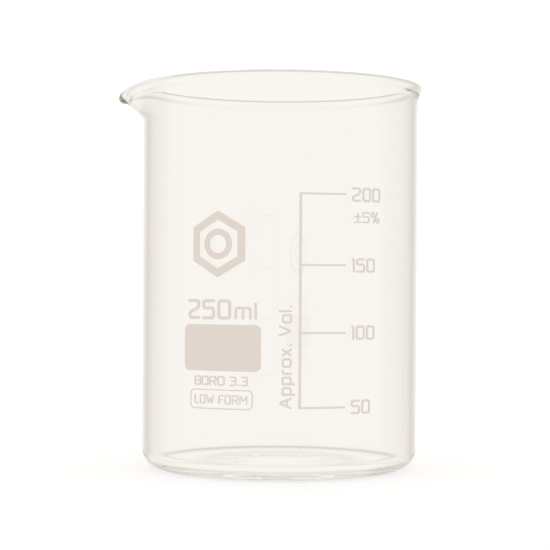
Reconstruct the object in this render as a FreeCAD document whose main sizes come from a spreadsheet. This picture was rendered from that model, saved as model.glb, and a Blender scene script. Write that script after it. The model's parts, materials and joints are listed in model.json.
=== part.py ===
"""A 250 ml low-form laboratory beaker: one glass vessel and the enamel marks fired on to its wall.

Frame: +Z up, origin at the centre of the flat base, on the axis of the straight wall.
The spout points to -X and the printed marks face -Y. All lengths are millimetres, all angles degrees.
"""

import FreeCAD, Part
import math
import os
import Sketcher

Vector = FreeCAD.Vector
UP = Vector(0, 0, 1)

# Each row: alias, value, meaning.
SIZES = [
    ("body_radius", 33.5, "outside of the straight wall"),
    ("full_height", 93.5, "table to the top of the rim"),
    ("wall_thickness", 1.5, "straight wall"),
    ("floor_thickness", 2.0, "base, at its middle"),
    ("base_corner_radius", 4.9, "outside corner between base and wall"),
    ("floor_corner_radius", 2.0, "inside corner between floor and wall"),
    ("ring_radius", 10.5, "mould ring pressed into the underside"),
    ("ring_width", 0.8, "mould ring, across"),
    ("ring_depth", 0.12, "mould ring, deep"),
    ("lip_height", 9.5, "top of the wall that is worked into rim and spout"),
    ("rim_flare", 0.75, "how far the rim's bead stands out from the wall's middle"),
    ("rim_lean", 18.0, "lean of the rim from upright"),
    ("bead_radius", 1.0, "fire-polished bead of the rim"),
    ("bead_length", 2.2, "stretch of wall that thickens into the bead"),
    ("spout_pull", 5.0, "how far the bead is drawn out at the spout's tip"),
    ("spout_drop", 2.1, "how far the bead sinks at the spout's tip"),
    ("spout_lean", 62.0, "lean of the spout's tip from upright"),
    ("spout_bead_radius", 1.3, "bead at the spout's tip"),
    ("spout_spread", 12.5, "angle at which the pull has fallen to about a third"),
    ("spout_nose", 1.8, "angle over which the tip is rounded"),
    ("spout_reach", 45.0, "angle each side of the tip where the spout ends"),
    ("film_thickness", 0.1, "enamel above the glass"),
    ("scale_spine", 4.7, "graduation spine, round the wall from the front"),
    ("scale_spine_width", 0.55, "graduation spine, across"),
    ("tick_end", 15.6, "outer end of the ticks, round the wall"),
    ("tick_width", 0.45, "tick line, across"),
    ("level_50", 17.05, "height of the 50 ml tick"),
    ("level_100", 34.0, "height of the 100 ml tick"),
    ("level_150", 49.4, "height of the 150 ml tick"),
    ("level_200", 65.6, "height of the 200 ml tick"),
    ("patch_centre", -13.95, "write-on patch, round the wall"),
    ("patch_width", 19.2, "write-on patch"),
    ("patch_bottom", 25.15, "write-on patch"),
    ("patch_height", 10.6, "write-on patch"),
    ("patch_corner", 1.3, "write-on patch"),
    ("frame_width", 15.8, "frame of the form label"),
    ("frame_bottom", 16.45, "frame of the form label"),
    ("frame_height", 4.55, "frame of the form label"),
    ("frame_corner", 1.2, "frame of the form label"),
    ("frame_line", 0.28, "frame of the form label"),
    ("emblem_centre", -14.6, "hexagon emblem, round the wall"),
    ("emblem_level", 54.1, "hexagon emblem, middle height"),
    ("emblem_radius", 7.6, "hexagon emblem, middle to corner"),
    ("emblem_line", 1.75, "hexagon emblem, side of the hexagon"),
    ("emblem_ring", 3.5, "hexagon emblem, outside of the inner ring"),
    ("emblem_ring_line", 1.4, "hexagon emblem, inner ring, across"),
]

# Each line of lettering: label, then its sizes in the order of LETTERING_SIZES.
LETTERING_SIZES = {
    "around": "left edge as it is read, round the wall from the front",
    "level": "lower edge",
    "width": "width of a common character",
    "cap": "cap height",
    "pen": "line",
    "gap": "gap between characters",
}
LETTERING = {
    "numeral": (17.1, 0.0, 2.5, 3.3, 0.5, 0.42),
    "tolerance": (17.8, 59.1, 2.05, 2.6, 0.38, 0.28),
    "caption": (2.85, 16.8, 2.2, 3.05, 0.5, 0.38),
    "capacity": (-22.65, 36.9, 3.4, 4.6, 0.72, 0.62),
    "unit": (-10.37, 36.95, 2.5, 3.85, 0.6, 0.62),
    "grade": (-20.75, 21.8, 1.9, 2.25, 0.4, 0.15),
    "form": (-20.7, 17.6, 1.55, 2.2, 0.34, 0.22),
}
for label, numbers in LETTERING.items():
    for (field, meaning), number in zip(LETTERING_SIZES.items(), numbers):
        SIZES.append((f"{label}_{field}", number, f"{label} lettering, {meaning}"))

doc = FreeCAD.newDocument("Beaker")
sheet = doc.addObject("Spreadsheet::Sheet", "Sizes")
for row, (alias, number, meaning) in enumerate(SIZES, start=1):
    sheet.set(f"A{row}", alias)
    sheet.set(f"B{row}", str(number))
    sheet.setAlias(f"B{row}", alias)
    sheet.set(f"C{row}", meaning)
doc.recompute()


def size(alias):
    """A driving dimension, read from the sheet."""
    return float(sheet.get(alias))


# ---------------------------------------------------------------- glass: straight wall and base


def origin_plane(body, role):
    """One of a body's own origin planes."""
    return next(f for f in body.Origin.OriginFeatures if f.Role == role)


def sketch_on(body, name, role):
    """An empty sketch on one of the body's origin planes."""
    sketch = body.newObject("Sketcher::SketchObject", name)
    sketch.AttachmentSupport = [(origin_plane(body, role), "")]
    sketch.MapMode = "FlatFace"
    return sketch


def bind(sketch, kind, where, alias, expression=None):
    """A driving dimension of a sketch, tied to the sheet."""
    index = sketch.addConstraint(Sketcher.Constraint(kind, *where, size(alias)))
    sketch.renameConstraint(index, alias)
    sketch.setExpression(f"Constraints.{alias}", expression or f"Sizes.{alias}")


def quarter(centre_x, centre_y, radius):
    """The lower right quarter of a circle in a sketch."""
    circle = Part.Circle(Vector(centre_x, centre_y, 0), UP, radius)
    return Part.ArcOfCircle(circle, -math.pi / 2, 0)


def line(x0, y0, x1, y1):
    """A straight sketch line."""
    return Part.LineSegment(Vector(x0, y0, 0), Vector(x1, y1, 0))


def draw_vessel(sketch):
    """Half the section of the cup below the lip: base, outside corner, wall, inside corner, floor."""
    radius, inner = size("body_radius"), size("body_radius") - size("wall_thickness")
    top = size("full_height") - size("lip_height")
    floor, corner = size("floor_thickness"), size("base_corner_radius")
    inside = size("floor_corner_radius")
    sketch.addGeometry(line(0, 0, radius - corner, 0))
    sketch.addGeometry(quarter(radius - corner, corner, corner))
    sketch.addGeometry(line(radius, corner, radius, top))
    sketch.addGeometry(line(radius, top, inner, top))
    sketch.addGeometry(line(inner, top, inner, floor + inside))
    sketch.addGeometry(quarter(inner - inside, floor + inside, inside))
    sketch.addGeometry(line(inner - inside, floor, 0, floor))
    sketch.addGeometry(line(0, floor, 0, 0))
    for kind, where in (
        ("Coincident", (0, 1, -1, 1)),
        ("Tangent", (0, 2, 1, 1)),
        ("Tangent", (1, 2, 2, 1)),
        ("Coincident", (2, 2, 3, 1)),
        ("Coincident", (3, 2, 4, 1)),
        ("Tangent", (4, 2, 5, 2)),
        ("Tangent", (5, 1, 6, 1)),
        ("Coincident", (6, 2, 7, 1)),
        ("Coincident", (7, 2, 0, 1)),
        ("Horizontal", (0,)),
        ("Vertical", (2,)),
        ("Horizontal", (3,)),
        ("Vertical", (4,)),
        ("Horizontal", (6,)),
        ("Vertical", (7,)),
    ):
        sketch.addConstraint(Sketcher.Constraint(kind, *where))
    bind(sketch, "DistanceX", (-1, 1, 2, 1), "body_radius")
    bind(sketch, "DistanceX", (3, 2, 3, 1), "wall_thickness")
    bind(sketch, "DistanceY", (-1, 1, 6, 2), "floor_thickness")
    bind(sketch, "Radius", (1,), "base_corner_radius")
    bind(sketch, "Radius", (5,), "floor_corner_radius")
    bind(sketch, "DistanceY", (-1, 1, 2, 2), "full_height", "Sizes.full_height - Sizes.lip_height")


def draw_ring(sketch):
    """The shallow V of the mould ring in the underside."""
    radius, half, depth = size("ring_radius"), size("ring_width") / 2, size("ring_depth")
    sketch.addGeometry(line(radius - half, 0, radius + half, 0))
    sketch.addGeometry(line(radius + half, 0, radius, depth))
    sketch.addGeometry(line(radius, depth, radius - half, 0))
    for kind, where in (
        ("Coincident", (0, 2, 1, 1)),
        ("Coincident", (1, 2, 2, 1)),
        ("Coincident", (2, 2, 0, 1)),
        ("Horizontal", (0,)),
        ("Equal", (1, 2)),
        ("PointOnObject", (0, 1, -1)),
    ):
        sketch.addConstraint(Sketcher.Constraint(kind, *where))
    bind(sketch, "DistanceX", (-1, 1, 1, 2), "ring_radius")
    bind(sketch, "DistanceX", (0, 1, 0, 2), "ring_width")
    bind(sketch, "DistanceY", (-1, 1, 1, 2), "ring_depth")


cup = doc.addObject("PartDesign::Body", "Cup")
cup.Label = "cup_below_lip"
cup_section = sketch_on(cup, "CupSection", "XZ_Plane")
draw_vessel(cup_section)
cup_turned = cup.newObject("PartDesign::Revolution", "CupTurned")
cup_turned.Profile = (cup_section, [""])
cup_turned.ReferenceAxis = (cup_section, ["V_Axis"])
cup_turned.Angle = 360
doc.recompute()
plain_volume = cup.Shape.Volume

ring_section = sketch_on(cup, "RingSection", "XZ_Plane")
draw_ring(ring_section)
ring_groove = cup.newObject("PartDesign::Groove", "MouldRing")
ring_groove.Profile = (ring_section, [""])
ring_groove.ReferenceAxis = (ring_section, ["V_Axis"])
ring_groove.Angle = 360
doc.recompute()
ring_removed = plain_volume - cup.Shape.Volume
ring_expected = math.pi * size("ring_radius") * size("ring_width") * size("ring_depth")
assert abs(ring_removed - ring_expected) < 0.05 * ring_expected, "the mould ring cut nothing"

# ---------------------------------------------------------------- glass: rim and spout

LIP_POINTS = 9  # points along each side of the lip's section
SPOUT_SECTIONS = 14  # sections from the spout's tip to its end, on each side


def spout_share(angle):
    """How much of the spout's full pull the rim has at this angle from the tip: 1 at the tip, 0 at its end."""
    reach, nose = size("spout_reach"), size("spout_nose")
    away = math.hypot(angle, nose) - nose
    fall = math.exp(-((away / size("spout_spread")) ** 1.35))
    return fall * (1 - (angle / reach) ** 2) ** 2


def lip_section(angle):
    """The closed outline of the lip in the upright plane at this angle from the spout's tip.

    The wall's middle line leaves the straight wall upright and ends at the bead's centre, leaning
    outwards. The wall thickens along it into the round bead.
    """
    share = spout_share(angle)
    half = size("wall_thickness") / 2
    bead = size("bead_radius") + share * (size("spout_bead_radius") - size("bead_radius"))
    lean = math.radians(size("rim_lean") + share * (size("spout_lean") - size("rim_lean")))
    low = Vector(size("body_radius") - half, 0, size("full_height") - size("lip_height"))
    rise = size("lip_height") - size("bead_radius")
    drop = size("spout_drop") * share**1.6
    out = size("rim_flare") + size("spout_pull") * share
    high = low + Vector(out, 0, rise - drop)
    leave = Vector(0, 0, rise)
    arrive = Vector(math.sin(lean), 0, math.cos(lean)) * (rise * (1 - 0.3 * share))
    thicken_from = 1 - size("bead_length") / rise

    def station(t):
        """Middle point, outward normal and half thickness at a share t of the way up."""
        middle = (
            low * (2 * t**3 - 3 * t**2 + 1)
            + leave * (t**3 - 2 * t**2 + t)
            + high * (3 * t**2 - 2 * t**3)
            + arrive * (t**3 - t**2)
        )
        along = (
            (high - low) * (6 * t - 6 * t**2)
            + leave * (3 * t**2 - 4 * t + 1)
            + arrive * (3 * t**2 - 2 * t)
        )
        along.normalize()
        grow = max(0.0, (t - thicken_from) / (1 - thicken_from))
        thickness = half + (bead - half) * grow * grow * (3 - 2 * grow)
        return middle, Vector(along.z, 0, -along.x), thickness

    shares = [i / (LIP_POINTS - 1) for i in range(LIP_POINTS)]
    stations = [station(t) for t in shares]
    outer = [middle + normal * thick for middle, normal, thick in stations]
    inner = [middle - normal * thick for middle, normal, thick in stations]
    crest = high + Vector(math.sin(lean), 0, math.cos(lean)) * bead
    outer_side = Part.BSplineCurve()
    outer_side.interpolate(Points=outer, Parameters=shares)
    inner_side = Part.BSplineCurve()
    inner_side.interpolate(Points=inner, Parameters=shares)
    outline = Part.Wire(
        [
            outer_side.toShape(),
            Part.Arc(outer[-1], crest, inner[-1]).toShape(),
            inner_side.toShape().reversed(),
            Part.LineSegment(inner[0], outer[0]).toShape(),
        ]
    )
    outline.rotate(Vector(), UP, 180 + angle)
    return outline


def plain_lip():
    """The rim away from the spout: one section turned round the axis."""
    reach = size("spout_reach")
    return Part.Face(lip_section(reach)).revolve(Vector(), UP, 360 - 2 * reach)


def spout():
    """The drawn-out part of the rim: sections set closer together towards the tip."""
    shares = [(i / SPOUT_SECTIONS) ** 1.4 for i in range(SPOUT_SECTIONS + 1)]
    right = [size("spout_reach") * share for share in shares]
    angles = [-a for a in reversed(right[1:])] + right
    return Part.makeLoft([lip_section(a) for a in angles], True, False)


rim = doc.addObject("Part::Feature", "Rim")
rim.Label = "rim_away_from_spout"
rim.Shape = plain_lip()
drawn = doc.addObject("Part::Feature", "Spout")
drawn.Label = "spout_drawn_from_rim"
drawn.Shape = spout()
vessel = doc.addObject("Part::MultiFuse", "Vessel")
vessel.Label = "glass_vessel"
vessel.Shapes = [cup, rim, drawn]
vessel.Refine = True
doc.recompute()

# ---------------------------------------------------------------- enamel: the printed film


def on_sheet(obj, **cells):
    """Tie an object's properties to expressions of the sheet's cells."""
    for prop, expression in cells.items():
        obj.setExpression(prop, expression)


film_outside = doc.addObject("Part::Cylinder", "FilmOutside")
on_sheet(film_outside, Radius="Sizes.body_radius + Sizes.film_thickness", Height="Sizes.full_height")
film_inside = doc.addObject("Part::Cylinder", "FilmInside")
on_sheet(film_inside, Radius="Sizes.body_radius", Height="Sizes.full_height")
film = doc.addObject("Part::Cut", "Film")
film.Label = "film_on_the_wall"
film.Base = film_outside
film.Tool = film_inside
doc.recompute()

STAMP_DEPTH = 4.0  # how far a stamp reaches through the wall, enough for its curve


def on_wall(shape, around, level, upright=False):
    """Move a stamp drawn flat, with its front towards +Z, to its place on the wall.

    around is the way round the wall from the front, to the right; level is the height. An upright
    stamp reads from bottom to top.
    """
    placed = shape.copy()
    if upright:
        placed.rotate(Vector(), UP, 90)
    placed.translate(Vector(0, 0, size("body_radius") - STAMP_DEPTH / 2))
    placed.rotate(Vector(), Vector(1, 0, 0), 90)
    placed.rotate(Vector(), UP, math.degrees(around / size("body_radius")))
    placed.translate(Vector(0, 0, level))
    return placed


def mark(label, stamps):
    """A named enamel mark: what its stamps leave on the film."""
    name = "".join(word.capitalize() for word in label.split("_"))
    stamp = doc.addObject("Part::Feature", name + "Stamp")
    stamp.Shape = Part.makeCompound(stamps)
    printed = doc.addObject("Part::Common", name)
    printed.Label = label
    printed.Base = film
    printed.Tool = stamp
    return printed


def rounded_plate(width, height, corner):
    """A flat plate with rounded corners, its middle at the origin."""
    plate = Part.makeBox(width, height, STAMP_DEPTH, Vector(-width / 2, -height / 2, 0))
    return plate.makeFillet(corner, [e for e in plate.Edges if abs(e.tangentAt(0).z) > 0.9])


# ---------------------------------------------------------------- enamel: lettering

# Each character is a list of strokes along the middle of its line, on a unit square whose height is
# the cap height. A stroke that ends where it began is a closed loop. The first number is the
# character's width as a share of the common width.
X_HEIGHT = 0.72
BOWL = [(0, 0), (1, 0), (1, X_HEIGHT), (0, X_HEIGHT), (0, 0)]
LOOP = [(0, 0), (1, 0), (1, 1), (0, 1), (0, 0)]
CHARACTERS = {
    "0": (1.0, [LOOP]),
    "1": (0.34, [[(0, 1), (1, 1), (1, 0)]]),
    "2": (1.0, [[(0, 1), (1, 1), (1, 0.6), (0, 0.3), (0, 0), (1, 0)]]),
    "3": (0.9, [[(0, 1), (1, 1), (1, 0), (0, 0)], [(0.3, 0.52), (1, 0.52)]]),
    "5": (1.0, [[(1, 1), (0, 1), (0, 0.57), (1, 0.57), (1, 0), (0, 0)]]),
    "B": (1.0, [LOOP, [(0, 0.52), (1, 0.52)]]),
    "O": (1.0, [LOOP]),
    "R": (1.0, [[(0, 0), (0, 1), (1, 1), (1, 0.45), (0, 0.45)], [(0.55, 0.45), (1, 0)]]),
    "L": (0.85, [[(0, 1), (0, 0), (1, 0)]]),
    "W": (1.35, [[(0, 1), (0.25, 0), (0.5, 0.75), (0.75, 0), (1, 1)]]),
    "F": (0.85, [[(1, 1), (0, 1), (0, 0)], [(0, 0.5), (0.85, 0.5)]]),
    "M": (1.25, [[(0, 0), (0, 1), (0.5, 0.35), (1, 1), (1, 0)]]),
    "A": (1.2, [[(0, 0), (0.5, 1), (1, 0)], [(0.2, 0.32), (0.8, 0.32)]]),
    "V": (1.15, [[(0, 1), (0.5, 0), (1, 1)]]),
    "p": (0.9, [BOWL, [(0, X_HEIGHT), (0, -0.32)]]),
    "r": (0.55, [[(0, 0), (0, X_HEIGHT), (1, X_HEIGHT)]]),
    "o": (1.0, [BOWL]),
    "x": (0.8, [[(0, 0), (1, X_HEIGHT)], [(0, X_HEIGHT), (1, 0)]]),
    "m": (1.6, [[(0, 0), (0, X_HEIGHT), (1, X_HEIGHT), (1, 0)], [(0.5, X_HEIGHT), (0.5, 0)]]),
    "l": (0.0, [[(0, 0), (0, 1)]]),
    ".": (0.37, [[(0.5, 0), (0.5, 0.02)]]),
    "+": (0.95, [[(0.5, 0.22), (0.5, 0.9)], [(0, 0.56), (1, 0.56)], [(0, 0), (1, 0)]]),
    "%": (
        1.5,
        [
            [(0.05, 0.58), (0.38, 0.58), (0.38, 1), (0.05, 1), (0.05, 0.58)],
            [(0.62, 0), (0.95, 0), (0.95, 0.42), (0.62, 0.42), (0.62, 0)],
            [(0.28, 0), (0.75, 1)],
        ],
    ),
}
SPACE = 0.53  # width of a space, as a share of the common width
CORNER = 0.6  # how much of a stroke is cut off at a corner, as a share of the pen's width


def bar(start, end, pen):
    """A straight stroke with round ends."""
    length = start.distanceToPoint(end)
    dot = Part.makeCylinder(pen / 2, STAMP_DEPTH)
    ends = [dot.translated(start), dot.translated(end)]
    body = Part.makeBox(length, pen, STAMP_DEPTH, Vector(0, -pen / 2, 0))
    body.rotate(Vector(), UP, math.degrees(math.atan2(end.y - start.y, end.x - start.x)))
    return body.translated(start).fuse(ends)


def softened(points, corner, closed):
    """The same stroke with each corner cut short, so that it looks round at print size."""
    ring = points[:-1] if closed else points
    soft = []
    for i, point in enumerate(ring):
        if not closed and i in (0, len(ring) - 1):
            soft.append(point)
            continue
        for neighbour in (ring[i - 1], ring[(i + 1) % len(ring)]):
            towards = neighbour - point
            cut = min(corner, 0.45 * towards.Length)
            soft.append(point + towards.normalize() * cut)
    return soft + soft[:1] if closed else soft


def character(sign, width, cap, pen):
    """One character as a stamp, its lower left corner at the origin."""
    share, strokes = CHARACTERS[sign]
    across = max(share * width - pen, 0)
    parts = []
    for stroke in strokes:
        points = [Vector(pen / 2 + x * across, pen / 2 + y * (cap - pen), 0) for x, y in stroke]
        closed = stroke[0] == stroke[-1] and len(stroke) > 2
        points = softened(points, CORNER * pen, closed)
        parts += [bar(a, b, pen) for a, b in zip(points, points[1:])]
    stamp = parts[0] if len(parts) == 1 else parts[0].fuse(parts[1:]).removeSplitter()
    return stamp, across + pen


def lettering(label, text, raised=0.0, upright=False):
    """A line of stamps, with the sizes that the sheet gives this label, raised by a height."""
    width, cap, pen, gap = (size(f"{label}_{field}") for field in ("width", "cap", "pen", "gap"))
    around, level = size(label + "_around"), size(label + "_level") + raised
    stamps = []
    along = 0.0
    for sign in text:
        if sign == " ":
            along += SPACE * width
            continue
        stamp, wide = character(sign, width, cap, pen)
        if upright:
            stamps.append(on_wall(stamp, around, level + along, upright=True))
        else:
            stamp.translate(Vector(-wide / 2, 0, 0))
            stamps.append(on_wall(stamp, around + along + wide / 2, level))
        along += wide + gap
    return stamps


levels = {text: size("level_" + text) for text in ("50", "100", "150", "200")}
marks = [
    mark("numeral_" + text, lettering("numeral", text, raised=level - size("numeral_cap") / 2))
    for text, level in levels.items()
]
marks.append(mark("tolerance_mark", lettering("tolerance", "+5%")))
marks.append(mark("approx_volume_caption", lettering("caption", "Approx. Vol.", upright=True)))
marks.append(mark("capacity_mark", lettering("capacity", "250") + lettering("unit", "ml")))
marks.append(mark("glass_grade_mark", lettering("grade", "BORO 3.3")))
marks.append(mark("form_label_text", lettering("form", "LOW FORM")))

# ---------------------------------------------------------------- enamel: scale, patch, frame and emblem

spine = size("scale_spine")
tick = size("tick_width")
scale_middle = (spine + size("tick_end")) / 2
scale_length = size("tick_end") - spine
spine_width = size("scale_spine_width")
spine_height = size("level_200") - size("level_50") + tick
spine_low = Vector(-scale_length / 2 - spine_width / 2, size("level_50") - tick / 2, 0)
scale_lines = [Part.makeBox(spine_width, spine_height, STAMP_DEPTH, spine_low)]
for level in levels.values():
    start = Vector(-scale_length / 2, level - tick / 2, 0)
    scale_lines.append(Part.makeBox(scale_length, tick, STAMP_DEPTH, start))
scale = scale_lines[0].fuse(scale_lines[1:]).removeSplitter()
marks.append(mark("graduation_scale", [on_wall(scale, scale_middle, 0)]))

patch = rounded_plate(size("patch_width"), size("patch_height"), size("patch_corner"))
patch_level = size("patch_bottom") + size("patch_height") / 2
marks.append(mark("marking_patch", [on_wall(patch, size("patch_centre"), patch_level)]))

edge = size("frame_line")
frame = rounded_plate(size("frame_width"), size("frame_height"), size("frame_corner")).cut(
    rounded_plate(
        size("frame_width") - 2 * edge, size("frame_height") - 2 * edge, size("frame_corner") - edge
    )
)
frame_level = size("frame_bottom") + size("frame_height") / 2
marks.append(mark("form_label_frame", [on_wall(frame, size("patch_centre"), frame_level)]))


def prism(radius):
    """A six-sided plate standing on a corner."""
    corners = [Vector(0, radius, 0)]
    for step in range(1, 7):
        turn = math.radians(60 * step)
        corners.append(Vector(-radius * math.sin(turn), radius * math.cos(turn), 0))
    return Part.Face(Part.makePolygon(corners)).extrude(UP * STAMP_DEPTH)


def ring(outside, line_width):
    """A flat ring."""
    return Part.makeCylinder(outside, STAMP_DEPTH).cut(
        Part.makeCylinder(outside - line_width, STAMP_DEPTH)
    )


inside_corner = size("emblem_radius") - size("emblem_line") / math.cos(math.radians(30))
hexagon = prism(size("emblem_radius")).cut(prism(inside_corner))
emblem = [hexagon, ring(size("emblem_ring"), size("emblem_ring_line"))]
emblem_place = (size("emblem_centre"), size("emblem_level"))
marks.append(mark("emblem_hexagon", [on_wall(piece, *emblem_place) for piece in emblem]))
doc.recompute()

# ---------------------------------------------------------------- checks and files


def sound(obj):
    """Is this object up to date, and its shape a valid, closed solid or group of solids?"""
    shape = obj.Shape
    bad = {"Invalid", "Error"} & set(obj.State)
    return not bad and not shape.isNull() and shape.isValid() and len(shape.Solids) > 0


for obj in doc.Objects:
    assert not {"Invalid", "Error"} & set(obj.State), f"{obj.Label} did not build"

os.makedirs("parts", exist_ok=True)
for node in [vessel] + marks:
    assert sound(node), f"{node.Label} is not a sound solid"
    node.Shape.exportStep(f"parts/{node.Label}.step")
    volume = round(node.Shape.Volume, 3)
    print(f"{node.Label}: {len(node.Shape.Solids)} solids, {volume} mm3")
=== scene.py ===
"""The looks of a 250 ml low-form laboratory beaker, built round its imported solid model.

The glass vessel is modelled here in full detail and stands for the solid model's vessel. The enamel
marks are the solid model's own pieces with a fired-enamel finish. All lengths are metres.
"""

import functools
import json
import logging
import math
from dataclasses import dataclass, field
from enum import Enum

import bmesh
import bpy
from mathutils import Euler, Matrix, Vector


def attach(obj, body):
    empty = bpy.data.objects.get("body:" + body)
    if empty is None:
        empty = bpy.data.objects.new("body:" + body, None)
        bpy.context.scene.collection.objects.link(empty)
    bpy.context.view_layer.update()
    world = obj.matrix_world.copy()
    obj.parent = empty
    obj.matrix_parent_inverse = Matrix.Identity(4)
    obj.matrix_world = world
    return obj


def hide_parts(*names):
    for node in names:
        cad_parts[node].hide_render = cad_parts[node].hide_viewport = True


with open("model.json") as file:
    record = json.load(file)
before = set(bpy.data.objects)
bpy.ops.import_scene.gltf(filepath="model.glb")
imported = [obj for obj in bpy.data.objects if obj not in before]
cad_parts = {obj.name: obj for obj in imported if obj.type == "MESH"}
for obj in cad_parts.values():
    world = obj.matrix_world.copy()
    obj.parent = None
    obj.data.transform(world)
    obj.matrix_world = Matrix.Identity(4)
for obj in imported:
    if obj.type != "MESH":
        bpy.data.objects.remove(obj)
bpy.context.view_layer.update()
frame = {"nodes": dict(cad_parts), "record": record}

logging.basicConfig(level=logging.INFO, format="%(message)s")
LOG = logging.getLogger("beaker")

MM = 0.001
ROOT = "root"
WELD = 0.001 * MM
# Light is led round inside the spout's tip and the base's corner before it leaves the glass.
LIGHT_BOUNCES = 1024


class Slot(Enum):
    """The record's material slots."""

    GLASS = "glass"
    ENAMEL = "enamel"


# ---------------------------------------------------------------- finishes


@dataclass(frozen=True)
class GlassFinish:
    """Clear borosilicate glass, fire polished, with a faint tint in its depth."""

    name: str = "borosilicate_glass"
    surface: tuple[float, float, float] = (1.0, 1.0, 1.0)
    depth_colour: tuple[float, float, float] = (0.965, 0.96, 0.91)
    depth_density: float = 2.5
    ior: float = 1.473
    wave_scale: float = 55.0
    wave_stretch: float = 0.25
    wave_height: float = 0.02 * MM
    wave_strength: float = 0.05

    def material(self) -> bpy.types.Material:
        """Make the glass.

        Returns:
            A glass material that tints by depth and whose normals carry faint waves.
        """
        material, tree, shader = principled(self.name)
        shader.inputs["Base Color"].default_value = (*self.surface, 1)
        shader.inputs["Transmission Weight"].default_value = 1.0
        shader.inputs["Roughness"].default_value = 0.0
        shader.inputs["IOR"].default_value = self.ior
        depth = tree.nodes.new("ShaderNodeVolumeAbsorption")
        depth.inputs["Color"].default_value = (*self.depth_colour, 1)
        depth.inputs["Density"].default_value = self.depth_density
        tree.links.new(depth.outputs["Volume"], tree.nodes["Material Output"].inputs["Volume"])
        place = tree.nodes.new("ShaderNodeTexCoord")
        stretch = tree.nodes.new("ShaderNodeMapping")
        stretch.inputs["Scale"].default_value = (1.0, 1.0, self.wave_stretch)
        waves = tree.nodes.new("ShaderNodeTexNoise")
        waves.inputs["Scale"].default_value = self.wave_scale
        waves.inputs["Detail"].default_value = 1.0
        bump = tree.nodes.new("ShaderNodeBump")
        bump.inputs["Strength"].default_value = self.wave_strength
        bump.inputs["Distance"].default_value = self.wave_height
        tree.links.new(place.outputs["Object"], stretch.inputs["Vector"])
        tree.links.new(stretch.outputs["Vector"], waves.inputs["Vector"])
        tree.links.new(waves.outputs["Fac"], bump.inputs["Height"])
        tree.links.new(bump.outputs["Normal"], shader.inputs["Normal"])
        return material


@dataclass(frozen=True)
class EnamelFinish:
    """White ceramic ink, screen printed and fired on to the wall."""

    name: str = "fired_white_enamel"
    pale: tuple[float, float, float] = (0.82, 0.76, 0.706)
    deep: tuple[float, float, float] = (0.785, 0.725, 0.67)
    mottle_scale: float = 900.0
    roughness: tuple[float, float] = (0.32, 0.5)
    grain_height: float = 0.01 * MM
    grain_strength: float = 0.25

    def material(self) -> bpy.types.Material:
        """Make the enamel.

        Returns:
            A satin material whose colour, roughness and grain vary a little.
        """
        material, tree, shader = principled(self.name)
        place = tree.nodes.new("ShaderNodeTexCoord")
        mottle = tree.nodes.new("ShaderNodeTexNoise")
        mottle.inputs["Scale"].default_value = self.mottle_scale
        mottle.inputs["Detail"].default_value = 3.0
        colour = tree.nodes.new("ShaderNodeMix")
        colour.data_type = "RGBA"
        colour.inputs["A"].default_value = (*self.pale, 1)
        colour.inputs["B"].default_value = (*self.deep, 1)
        polish = tree.nodes.new("ShaderNodeMapRange")
        polish.inputs["To Min"].default_value = self.roughness[0]
        polish.inputs["To Max"].default_value = self.roughness[1]
        bump = tree.nodes.new("ShaderNodeBump")
        bump.inputs["Strength"].default_value = self.grain_strength
        bump.inputs["Distance"].default_value = self.grain_height
        tree.links.new(place.outputs["Object"], mottle.inputs["Vector"])
        tree.links.new(mottle.outputs["Fac"], colour.inputs["Factor"])
        tree.links.new(mottle.outputs["Fac"], polish.inputs["Value"])
        tree.links.new(mottle.outputs["Fac"], bump.inputs["Height"])
        tree.links.new(colour.outputs["Result"], shader.inputs["Base Color"])
        tree.links.new(polish.outputs["Result"], shader.inputs["Roughness"])
        tree.links.new(bump.outputs["Normal"], shader.inputs["Normal"])
        return material


def principled(name: str) -> tuple[bpy.types.Material, bpy.types.NodeTree, bpy.types.Node]:
    """Start a material.

    Args:
        name: The material's name.

    Returns:
        The material, its node tree and its Principled shader.
    """
    material = bpy.data.materials.new(name)
    material.use_nodes = True
    tree = material.node_tree
    return material, tree, tree.nodes["Principled BSDF"]


# ---------------------------------------------------------------- the glass vessel


@dataclass
class Spout:
    """How the rim is drawn out into the pouring spout, by angle in degrees from its tip.

    The pull falls off over spread, more steeply as its power rises, and has a rounded nose. The
    drop falls off faster than the pull.
    """

    pull: float = 4.98 * MM
    drop: float = 2.1 * MM
    drop_power: float = 1.6
    lean: float = 62.0
    bead_radius: float = 1.3 * MM
    spread: float = 12.5
    spread_power: float = 1.35
    nose: float = 1.8
    shorten: float = 0.3
    reach: float = 45.0

    def share(self, angle: float) -> float:
        """How much of the full pull the rim has at an angle.

        Args:
            angle: Angle from the tip, in degrees.

        Returns:
            1 at the tip, 0 at the spout's end and beyond.
        """
        if abs(angle) >= self.reach:
            return 0.0
        away = math.hypot(angle, self.nose) - self.nose
        fall = math.exp(-((away / self.spread) ** self.spread_power))
        return fall * (1 - (angle / self.reach) ** 2) ** 2


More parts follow.
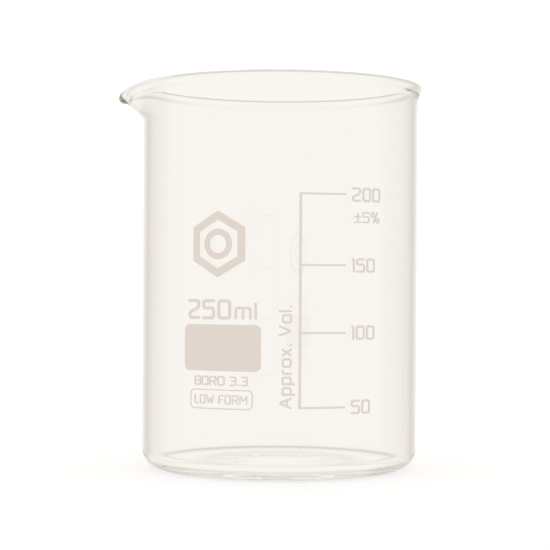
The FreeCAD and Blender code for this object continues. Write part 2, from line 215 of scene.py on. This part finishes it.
@dataclass
class Vessel:
    """One blown glass vessel: flat base, straight wall, beaded rim and spout."""

    radius: float = 33.5 * MM
    height: float = 93.5 * MM
    wall: float = 1.5 * MM
    floor: float = 2.0 * MM
    base_corner: float = 4.9 * MM
    floor_corner: float = 2.0 * MM
    ring_radius: float = 10.5 * MM
    ring_width: float = 0.8 * MM
    ring_depth: float = 0.12 * MM
    lip_height: float = 9.5 * MM
    rim_flare: float = 0.75 * MM
    rim_lean: float = 18.0
    bead_radius: float = 1.0 * MM
    bead_length: float = 2.2 * MM
    spout: Spout = field(default_factory=Spout)
    steps_round: int = 360
    steps_corner: int = 14
    steps_wall: int = 16
    steps_lip: int = 26
    steps_bead: int = 14

    def lip_point(self, angle: float, along: float, turn: float) -> tuple[float, float]:
        """A point of the lip's section in the upright plane at an angle from the spout's tip.

        Args:
            angle: Angle from the spout's tip, in degrees.
            along: Share of the way up the wall's middle line, 0 at the straight wall, 1 at the bead.
            turn: Degrees round the wall's middle from its outside: 0 outside, 180 inside.

        Returns:
            The point's distance from the axis and its height.
        """
        share = self.spout.share(angle)
        half = self.wall / 2
        bead = self.bead_radius + share * (self.spout.bead_radius - self.bead_radius)
        lean = math.radians(self.rim_lean + share * (self.spout.lean - self.rim_lean))
        rise = self.lip_height - self.bead_radius
        low = Vector((self.radius - half, self.height - self.lip_height))
        out = self.rim_flare + self.spout.pull * share
        high = low + Vector((out, rise - self.spout.drop * share**self.spout.drop_power))
        leave = Vector((0, rise))
        arrive = Vector((math.sin(lean), math.cos(lean)))
        arrive *= rise * (1 - self.spout.shorten * share)
        t = along
        middle = (
            low * (2 * t**3 - 3 * t**2 + 1)
            + leave * (t**3 - 2 * t**2 + t)
            + high * (3 * t**2 - 2 * t**3)
            + arrive * (t**3 - t**2)
        )
        up = (
            (high - low) * (6 * t - 6 * t**2)
            + leave * (3 * t**2 - 4 * t + 1)
            + arrive * (3 * t**2 - 2 * t)
        ).normalized()
        thicken_from = 1 - self.bead_length / rise
        grow = max(0.0, (t - thicken_from) / (1 - thicken_from))
        thick = half + (bead - half) * grow * grow * (3 - 2 * grow)
        outward = Vector((up.y, -up.x))
        turned = math.radians(turn)
        point = middle + (outward * math.cos(turned) + up * math.sin(turned)) * thick
        return point.x, point.y

    def corner(self, centre: tuple[float, float], radius: float) -> list[tuple[float, float]]:
        """The lower outer quarter of a circle, from its lowest point outwards and up."""
        turns = [math.radians(90 * i / self.steps_corner) for i in range(self.steps_corner + 1)]
        return [
            (centre[0] + radius * math.sin(a), centre[1] - radius * math.cos(a)) for a in turns
        ]

    def underside(self) -> list[tuple[float, float]]:
        """The underside from the axis outwards, with the shallow mould ring."""
        points = [(0.0, 0.0), (self.ring_radius * 0.5, 0.0)]
        half = self.ring_width / 2
        for i in range(9):
            across = i / 4 - 1
            depth = self.ring_depth * (0.5 + 0.5 * math.cos(math.pi * across))
            points.append((self.ring_radius + half * across, depth))
        points.append((0.6 * self.radius, 0.0))
        return points

    def wall_heights(self, low: float, high: float) -> list[float]:
        """Even heights between two ends of the straight wall, without the ends."""
        return [low + (high - low) * i / self.steps_wall for i in range(1, self.steps_wall)]

    def body_profile(self) -> tuple[list, list]:
        """The two sides of the section below the lip.

        Returns:
            The outside from the axis up to the lip, and the inside from the lip down to the axis.
        """
        top = self.height - self.lip_height
        inner = self.radius - self.wall
        centre = (self.radius - self.base_corner, self.base_corner)
        outside = self.underside() + self.corner(centre, self.base_corner)
        outside += [(self.radius, z) for z in self.wall_heights(self.base_corner, top)]
        centre = (inner - self.floor_corner, self.floor + self.floor_corner)
        inside = [(0.0, self.floor), (0.5 * inner, self.floor)]
        inside += self.corner(centre, self.floor_corner)
        inside += [(inner, z) for z in self.wall_heights(centre[1], top)]
        return outside, inside[::-1]

    def lip_stations(self) -> list[tuple[float, float]]:
        """Places round the lip's section, outside to inside, as lip_point's along and turn."""
        climb = [i / self.steps_lip for i in range(self.steps_lip + 1)]
        over = [180 * i / self.steps_bead for i in range(1, self.steps_bead)]
        return (
            [(t, 0.0) for t in climb]
            + [(1.0, turn) for turn in over]
            + [(t, 180.0) for t in reversed(climb)]
        )

    def build(self) -> bpy.types.Object:
        """Turn the section round the axis, then draw the spout out of the rim.

        Returns:
            The vessel as one closed mesh.
        """
        outside, inside = self.body_profile()
        stations = self.lip_stations()
        plain = [self.lip_point(self.spout.reach, *station) for station in stations]
        bm = bmesh.new()
        station_of = bm.verts.layers.int.new("station")
        section = [(point, 0) for point in outside]
        section += [(point, number) for number, point in enumerate(plain, start=1)]
        section += [(point, 0) for point in inside]
        for (r, z), number in section:
            vert = bm.verts.new((-r, 0.0, z))
            vert[station_of] = number
        bm.verts.ensure_lookup_table()
        for low, high in zip(bm.verts[:-1], bm.verts[1:]):
            bm.edges.new((low, high))
        bmesh.ops.spin(
            bm,
            geom=bm.verts[:] + bm.edges[:],
            cent=(0, 0, 0),
            axis=(0, 0, 1),
            angle=math.tau,
            steps=self.steps_round,
            use_merge=True,
            use_duplicate=False,
        )
        for vert in bm.verts:
            if vert[station_of]:
                self.draw_out(vert, stations[vert[station_of] - 1])
        bmesh.ops.remove_doubles(bm, verts=bm.verts, dist=WELD)
        bmesh.ops.recalc_face_normals(bm, faces=bm.faces)
        for face in bm.faces:
            face.smooth = True
        mesh = bpy.data.meshes.new("beaker_glass")
        bm.to_mesh(mesh)
        bm.free()
        return add_object("beaker_glass", mesh)

    def draw_out(self, vert: bmesh.types.BMVert, station: tuple[float, float]) -> None:
        """Move one vertex of the plain lip to its place on the spout.

        Args:
            vert: The vertex.
            station: Its place on the lip's section.
        """
        turn = math.atan2(vert.co.y, -vert.co.x)
        r, z = self.lip_point(math.degrees(turn), *station)
        vert.co = (-r * math.cos(turn), r * math.sin(turn), z)

    def dress(self, piece: bpy.types.Object) -> None:
        """Give the vessel its glass and its place in the frame."""
        piece.data.materials.append(GlassFinish().material())
        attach(piece, ROOT)
        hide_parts("glass_vessel")


def add_object(name: str, mesh: bpy.types.Mesh) -> bpy.types.Object:
    """Put a mesh in the scene at the origin.

    Args:
        name: The object's name.
        mesh: Its mesh.

    Returns:
        The new object.
    """
    piece = bpy.data.objects.new(name, mesh)
    bpy.context.scene.collection.objects.link(piece)
    return piece


# ---------------------------------------------------------------- the enamel marks


@dataclass
class EnamelMarks:
    """The printed marks, which keep the solid model's shapes."""

    finish: EnamelFinish = field(default_factory=EnamelFinish)

    def dress(self) -> list[str]:
        """Give every enamel node the fired finish.

        Returns:
            The names of the nodes.
        """
        material = self.finish.material()
        names = [
            entry["node"]
            for entry in frame["record"]["subparts"]
            if entry["material_slot"] == Slot.ENAMEL.value
        ]
        for name in names:
            mesh = frame["nodes"][name].data
            mesh.materials.clear()
            mesh.materials.append(material)
        return names


# ---------------------------------------------------------------- the studio


@dataclass(frozen=True)
class Card:
    """One large soft card of the room round the object, by direction from it, in degrees.

    bearing is from +X towards +Y. The card is full to full_to either side of its bearing and
    gone by gone_by, and full from lowest to highest, with soft ends.
    """

    colour: tuple[float, float, float]
    bearing: float = 0.0
    full_to: float = 180.0
    gone_by: float = 200.0
    lowest: float = -100.0
    highest: float = 100.0
    soft: float = 8.0


def colour_sockets(blend: bpy.types.Node) -> list[bpy.types.NodeSocket]:
    """The two colour inputs of a Mix node."""
    return [s for s in blend.inputs if s.type == "RGBA"]


def colour_result(blend: bpy.types.Node) -> bpy.types.NodeSocket:
    """The colour output of a Mix node."""
    return next(s for s in blend.outputs if s.type == "RGBA")


class Glow:
    """The nodes of a light whose colour follows its direction from the object."""

    def __init__(self, tree: bpy.types.NodeTree) -> None:
        """Keep the tree and find its direction.

        Args:
            tree: The world's node tree.
        """
        self.tree = tree
        self.direction = tree.nodes.new("ShaderNodeTexCoord").outputs["Generated"]

    def card(self, card: Card) -> bpy.types.NodeSocket:
        """How much of a card shows in the direction.

        Args:
            card: The card.

        Returns:
            The socket that holds it, from 0 to 1.
        """
        shares = []
        if card.full_to < 180:
            far = math.cos(math.radians(card.gone_by))
            near = math.cos(math.radians(card.full_to))
            shares.append(self.rise(self.along(card.bearing), far, near))
        if card.lowest > -90:
            start = math.sin(math.radians(card.lowest - card.soft))
            full = math.sin(math.radians(card.lowest))
            shares.append(self.rise(self.height(), start, full))
        if card.highest < 90:
            start = math.sin(math.radians(card.highest + card.soft))
            full = math.sin(math.radians(card.highest))
            shares.append(self.rise(self.height(), start, full))
        return functools.reduce(self.both, shares)

    def along(self, bearing: float) -> bpy.types.NodeSocket:
        """The cosine of the level angle between the direction and a bearing.

        Args:
            bearing: The bearing, in degrees from +X towards +Y.

        Returns:
            The socket that holds it.
        """
        turned = math.radians(bearing)
        flat = self.vector("MULTIPLY", self.direction, (1, 1, 0))
        unit = self.vector("NORMALIZE", flat.outputs["Vector"])
        dot = self.vector(
            "DOT_PRODUCT", unit.outputs["Vector"], (math.cos(turned), math.sin(turned), 0)
        )
        return dot.outputs["Value"]

    def vector(
        self,
        operation: str,
        first: bpy.types.NodeSocket,
        second: tuple[float, float, float] = (0, 0, 0),
    ) -> bpy.types.Node:
        """A vector step.

        Args:
            operation: What it does.
            first: The vector it works on.
            second: A plain second vector.

        Returns:
            The step's node.
        """
        node = self.tree.nodes.new("ShaderNodeVectorMath")
        node.operation = operation
        node.inputs[1].default_value = second
        self.tree.links.new(first, node.inputs[0])
        return node

    def height(self) -> bpy.types.NodeSocket:
        """The sine of the direction's height over the horizon."""
        split = self.tree.nodes.new("ShaderNodeSeparateXYZ")
        self.tree.links.new(self.direction, split.inputs["Vector"])
        return split.outputs["Z"]

    def seen(self) -> bpy.types.NodeSocket:
        """1 where the camera sees the light straight, 0 through or in the glass."""
        return self.tree.nodes.new("ShaderNodeLightPath").outputs["Is Camera Ray"]

    def both(
        self, first: bpy.types.NodeSocket, second: bpy.types.NodeSocket
    ) -> bpy.types.NodeSocket:
        """The product of two shares."""
        node = self.tree.nodes.new("ShaderNodeMath")
        node.operation = "MULTIPLY"
        self.tree.links.new(first, node.inputs[0])
        self.tree.links.new(second, node.inputs[1])
        return node.outputs["Value"]

    def rise(
        self, value: bpy.types.NodeSocket, start: float, full: float
    ) -> bpy.types.NodeSocket:
        """A smooth step from 0 to 1.

        Args:
            value: What it follows.
            start: Where it leaves 0.
            full: Where it reaches 1.

        Returns:
            The socket that holds it.
        """
        step = self.tree.nodes.new("ShaderNodeMapRange")
        step.interpolation_type = "SMOOTHSTEP"
        step.inputs["From Min"].default_value = start
        step.inputs["From Max"].default_value = full
        self.tree.links.new(value, step.inputs["Value"])
        return step.outputs["Result"]

    def mix(
        self,
        share: bpy.types.NodeSocket,
        first: tuple | bpy.types.NodeSocket,
        second: tuple,
    ) -> bpy.types.NodeSocket:
        """Blend two colours.

        Args:
            share: How much of the second shows.
            first: A plain colour or the socket of one.
            second: A plain colour.

        Returns:
            The socket of the blend.
        """
        blend = self.tree.nodes.new("ShaderNodeMix")
        blend.data_type = "RGBA"
        self.tree.links.new(share, blend.inputs["Factor"])
        for socket, value in zip(colour_sockets(blend), (first, second)):
            if isinstance(value, tuple):
                socket.default_value = value
            else:
                self.tree.links.new(value, socket)
        return colour_result(blend)


WHITE_CARD = (0.957, 0.925, 0.882)


@dataclass(frozen=True)
class Surroundings:
    """What the glass mirrors and bends: soft cards in a dimmer warm room.

    Seen straight from the camera, the room is plain white.
    """

    plain: tuple[float, float, float] = (1.03, 1.03, 1.03)
    room: tuple[float, float, float] = (0.735, 0.695, 0.635)
    cards: tuple[Card, ...] = (
        # The near half of the room, the shade low on its far side, the ceiling, and the table.
        Card((0.86, 0.82, 0.785), bearing=-90, full_to=85, gone_by=105),
        Card((0.62, 0.59, 0.55), bearing=90, full_to=25, gone_by=50, lowest=-40, highest=-24),
        Card((0.70, 0.67, 0.64), lowest=45, soft=12),
        Card((0.84, 0.80, 0.76), highest=-45, soft=12),
        Card((0.94, 0.92, 0.895), highest=-66, soft=10),
        # White backdrops on four sides.
        Card(WHITE_CARD, bearing=90, full_to=11, gone_by=24, lowest=-10, highest=15, soft=16),
        Card(WHITE_CARD, bearing=180, full_to=11, gone_by=24, lowest=-13, highest=10, soft=16),
        Card(WHITE_CARD, bearing=135, full_to=10, gone_by=24, lowest=-36, highest=-16),
        Card(WHITE_CARD, bearing=-45, full_to=10, gone_by=24, lowest=-27, highest=-9),
    )

    def paint(self, glow: Glow) -> bpy.types.NodeSocket:
        """Colour the light by direction.

        Args:
            glow: The node tree to paint in.

        Returns:
            The socket of the colour.
        """
        colour = (*self.room, 1.0)
        for card in self.cards:
            colour = glow.mix(glow.card(card), colour, (*card.colour, 1.0))
        return glow.mix(glow.seen(), colour, (*self.plain, 1.0))


@dataclass
class Studio:
    """A glowing white sheet on a table in a pale warm room."""

    floor_radius: float = 3.0
    floor_level: float = -0.1 * MM
    floor_sides: int = 96
    floor_white: float = 0.4
    floor_glow: float = 0.75
    around: Surroundings = field(default_factory=Surroundings)

    def build(self) -> None:
        """Lay the sheet and light the room."""
        self.lay_floor()
        self.light()

    def lay_floor(self) -> None:
        """Lay the round white sheet, lit from beneath, which the glass doesn't pick up."""
        bm = bmesh.new()
        bmesh.ops.create_circle(
            bm, cap_ends=True, radius=self.floor_radius, segments=self.floor_sides
        )
        bmesh.ops.translate(bm, verts=bm.verts, vec=(0, 0, self.floor_level))
        mesh = bpy.data.meshes.new("white_sheet")
        bm.to_mesh(mesh)
        bm.free()
        floor = add_object("white_sheet", mesh)
        material, _, shader = principled("white_sheet")
        shader.inputs["Base Color"].default_value = (*(self.floor_white,) * 3, 1)
        shader.inputs["Roughness"].default_value = 1.0
        shader.inputs["Specular IOR Level"].default_value = 0.0
        shader.inputs["Emission Color"].default_value = (1, 1, 1, 1)
        shader.inputs["Emission Strength"].default_value = self.floor_glow
        floor.data.materials.append(material)
        floor.visible_transmission = False
        floor.visible_glossy = False

    def light(self) -> None:
        """Make the room one soft surrounding light."""
        world = bpy.data.worlds.new("soft_studio")
        bpy.context.scene.world = world
        world.use_nodes = True
        tree = world.node_tree
        colour = self.around.paint(Glow(tree))
        tree.links.new(colour, tree.nodes["Background"].inputs["Color"])


@dataclass
class Viewpoint:
    """The camera, level with the middle of the wall and a forearm's length away."""

    distance: float = 408.0 * MM
    height: float = 46.05 * MM
    lens: float = 108.6
    sensor: float = 36.0
    aim_left: float = 0.166
    aim_up: float = 0.159
    roll: float = 0.33
    nearest: float = 10.0 * MM
    farthest: float = 20.0

    def build(self) -> None:
        """Make the camera and look through it."""
        data = bpy.data.cameras.new("viewpoint")
        data.lens = self.lens
        data.sensor_width = self.sensor
        data.clip_start = self.nearest
        data.clip_end = self.farthest
        camera = bpy.data.objects.new("viewpoint", data)
        bpy.context.scene.collection.objects.link(camera)
        camera.location = (0, -self.distance, self.height)
        aim = Euler((math.radians(90 + self.aim_up), 0, math.radians(self.aim_left)))
        roll = Euler((0, 0, math.radians(self.roll)))
        camera.rotation_euler = (aim.to_matrix() @ roll.to_matrix()).to_euler()
        bpy.context.scene.camera = camera


def set_light_paths() -> None:
    """Let light pass many times through the glass, and show its colours plain."""
    scene = bpy.context.scene
    scene.view_settings.view_transform = "Standard"
    scene.cycles.max_bounces = LIGHT_BOUNCES
    scene.cycles.transmission_bounces = LIGHT_BOUNCES
    scene.cycles.glossy_bounces = LIGHT_BOUNCES


def main() -> None:
    """Build the beaker, its marks, the studio and the camera."""
    vessel = Vessel()
    glass = vessel.build()
    vessel.dress(glass)
    LOG.info("%s: %d faces", glass.name, len(glass.data.polygons))
    for name in EnamelMarks().dress():
        LOG.info("%s: fired enamel", name)
    Studio().build()
    Viewpoint().build()
    set_light_paths()


if __name__ == "__main__":
    main()
